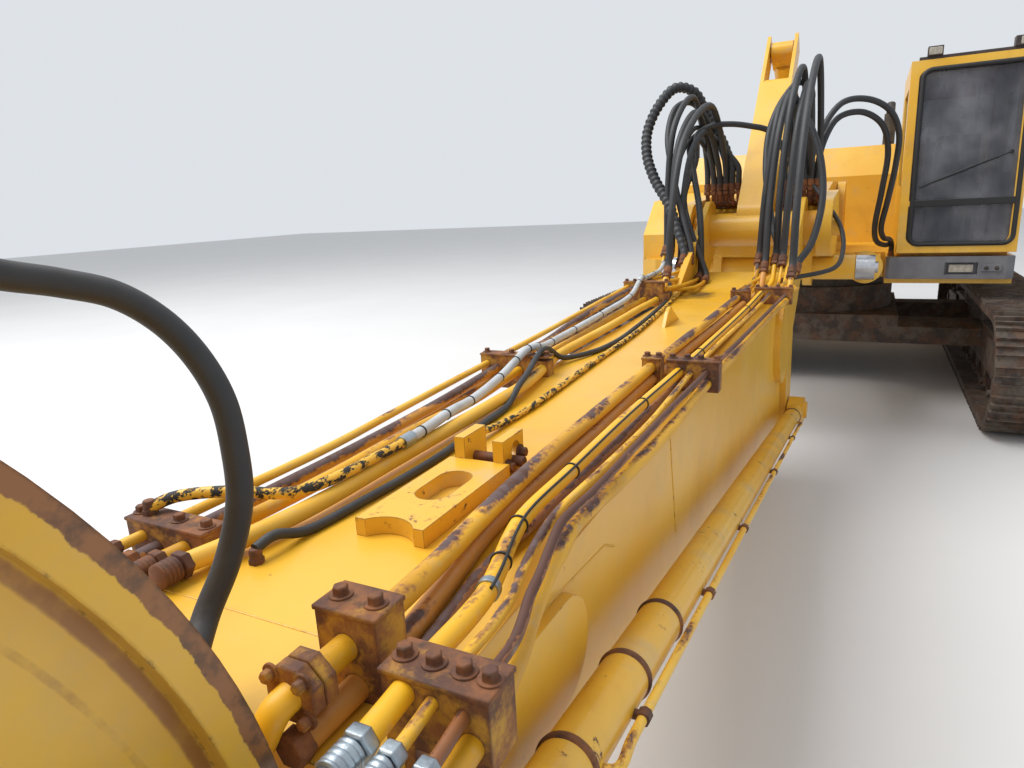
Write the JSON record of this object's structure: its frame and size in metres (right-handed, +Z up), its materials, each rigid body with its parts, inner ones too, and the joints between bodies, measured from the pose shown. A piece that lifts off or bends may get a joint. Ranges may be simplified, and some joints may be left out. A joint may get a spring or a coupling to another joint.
{
  "type": "tracked pile driver rig",
  "caption": "Tracked pile driver rig: slewing upper works with cab, three-member boom with hydraulic lines, and a vibratory pile driver with clamp at its tip",
  "frame": {"origin": "Middle of the footprint box on the ground, under the tracks' soles", "axes": "+X forward along the boom, +Y to the cab side, +Z up"},
  "size_m": [17.2198, 4.28, 3.4749],
  "materials": {
    "yellow_paint": "semi-gloss, dusty",
    "rusty_steel": "rusted",
    "dark_steel": "worn, greasy",
    "rod_chrome": "polished",
    "black_rubber": "matt",
    "cab_pane": "clear",
    "seat_cloth": "woven",
    "bumper_grey": "satin"
  },
  "bodies": {
    "undercarriage": {"carbody": "rusty_steel", "track_frame_left": "rusty_steel", "track_frame_right": "rusty_steel", "track_left": "rusty_steel", "track_right": "rusty_steel", "idlers": "dark_steel", "sprockets": "dark_steel", "track_rollers": "dark_steel", "slew_ring": "dark_steel"},
    "upper": {"deck": "yellow_paint", "bumper": "bumper_grey", "engine_hood": "yellow_paint", "engine": "dark_steel", "counterweight": "yellow_paint", "tank_cabinet": "yellow_paint", "exhaust": "dark_steel", "handrails": "bumper_grey", "cab_shell": "yellow_paint", "cab_glass": "cab_pane", "cab_seat": "seat_cloth", "roof_lamps": "bumper_grey"},
    "door": {"cab_door": "yellow_paint", "door_glass": "cab_pane"},
    "base": {"base_boom": "yellow_paint", "base_pipes": "yellow_paint", "coupling_row": "rusty_steel"},
    "hoist_barrel": {"hoist_barrels": "yellow_paint"},
    "hoist_rod": {"hoist_rods": "rod_chrome"},
    "main": {"main_boom": "yellow_paint", "lock_plate": "yellow_paint", "pipes_left": "yellow_paint", "pipes_right": "yellow_paint", "pipe_clamps": "rusty_steel", "hoses_left": "black_rubber", "hoses_right": "black_rubber", "hoses_front": "black_rubber"},
    "adjust_barrel": {"adjust_barrels": "yellow_paint"},
    "adjust_rod": {"adjust_rods": "rod_chrome"},
    "stick_barrel": {"stick_barrels": "yellow_paint"},
    "stick_rod": {"stick_rods": "rod_chrome"},
    "stick": {"stick": "yellow_paint"},
    "hammer": {"hammer_yoke": "yellow_paint", "rubber_mounts": "black_rubber", "exciter": "yellow_paint", "clamp_body": "dark_steel"},
    "jaw": {"clamp_jaw": "rod_chrome"}
  },
  "joints": [
    {"name": "slew", "type": "hinge", "parent": "undercarriage", "child": "upper", "pos_m": [-4.86, 0, 1.2], "axis": [0, 0, 1], "continuous": true},
    {"name": "door_hinge", "type": "hinge", "parent": "upper", "child": "door", "pos_m": [-4.56, 1.766, 0], "axis": [0, 0, 1], "range_deg": [0, 120]},
    {"name": "boom_hoist", "type": "hinge", "parent": "upper", "child": "base", "pos_m": [-4.41, -0.25, 2], "axis": [0, -1, 0], "range_deg": [0, 50]},
    {"name": "hoist_swing", "type": "hinge", "parent": "upper", "child": "hoist_barrel", "pos_m": [-3.51, -0.25, 1.32], "axis": [0, -1, 0], "range_deg": [-1, 64]},
    {"name": "hoist_stroke", "type": "slide", "parent": "hoist_barrel", "child": "hoist_rod", "axis": [0.9947, 0, 0.1027], "range_m": [-0.01, 0.95]},
    {"name": "boom_bend", "type": "hinge", "parent": "base", "child": "main", "pos_m": [-1.36, -0.25, 1.84], "axis": [0, 1, 0], "range_deg": [-5, 28], "deforming": ["hoses_left", "hoses_right"]},
    {"name": "adjust_swing", "type": "hinge", "parent": "main", "child": "adjust_barrel", "pos_m": [-2.71164, -0.25, 3.34115], "axis": [0, -1, 0], "range_deg": [-6, 32]},
    {"name": "adjust_stroke", "type": "slide", "parent": "adjust_barrel", "child": "adjust_rod", "axis": [-0.884, 0, -0.4675], "range_m": [-0.2, 1.05]},
    {"name": "stick_curl", "type": "hinge", "parent": "main", "child": "stick", "pos_m": [4.69, -0.25, 0.95], "axis": [0, 1, 0], "range_deg": [0, 95], "deforming": ["hoses_front"]},
    {"name": "stick_swing", "type": "hinge", "parent": "main", "child": "stick_barrel", "pos_m": [-0.66, -0.25, 0.6], "axis": [0, -1, 0], "range_deg": [-2, 2]},
    {"name": "stick_stroke", "type": "slide", "parent": "stick_barrel", "child": "stick_rod", "axis": [0.9894, 0, 0.1451], "range_m": [-0.01, 0.78]},
    {"name": "hammer_tilt", "type": "hinge", "parent": "stick", "child": "hammer", "pos_m": [8.29, -0.25, 1.45], "axis": [0, -1, 0], "range_deg": [-25, 95]},
    {"name": "jaw_slide", "type": "slide", "parent": "hammer", "child": "jaw", "axis": [0, -1, 0], "range_m": [0, 0.09]}
  ],
  "couplings": [
    {"joint": "hoist_swing", "follows": "boom_hoist", "ratio": 1.2113},
    {"joint": "hoist_stroke", "follows": "boom_hoist", "m_per_rad": 1.0055},
    {"joint": "adjust_swing", "follows": "boom_bend", "ratio": 1.0343},
    {"joint": "adjust_stroke", "follows": "boom_bend", "m_per_rad": 1.9841},
    {"joint": "stick_swing", "follows": "stick_curl", "ratio": -0.01077},
    {"joint": "stick_stroke", "follows": "stick_curl", "m_per_rad": 0.44619}
  ]
}
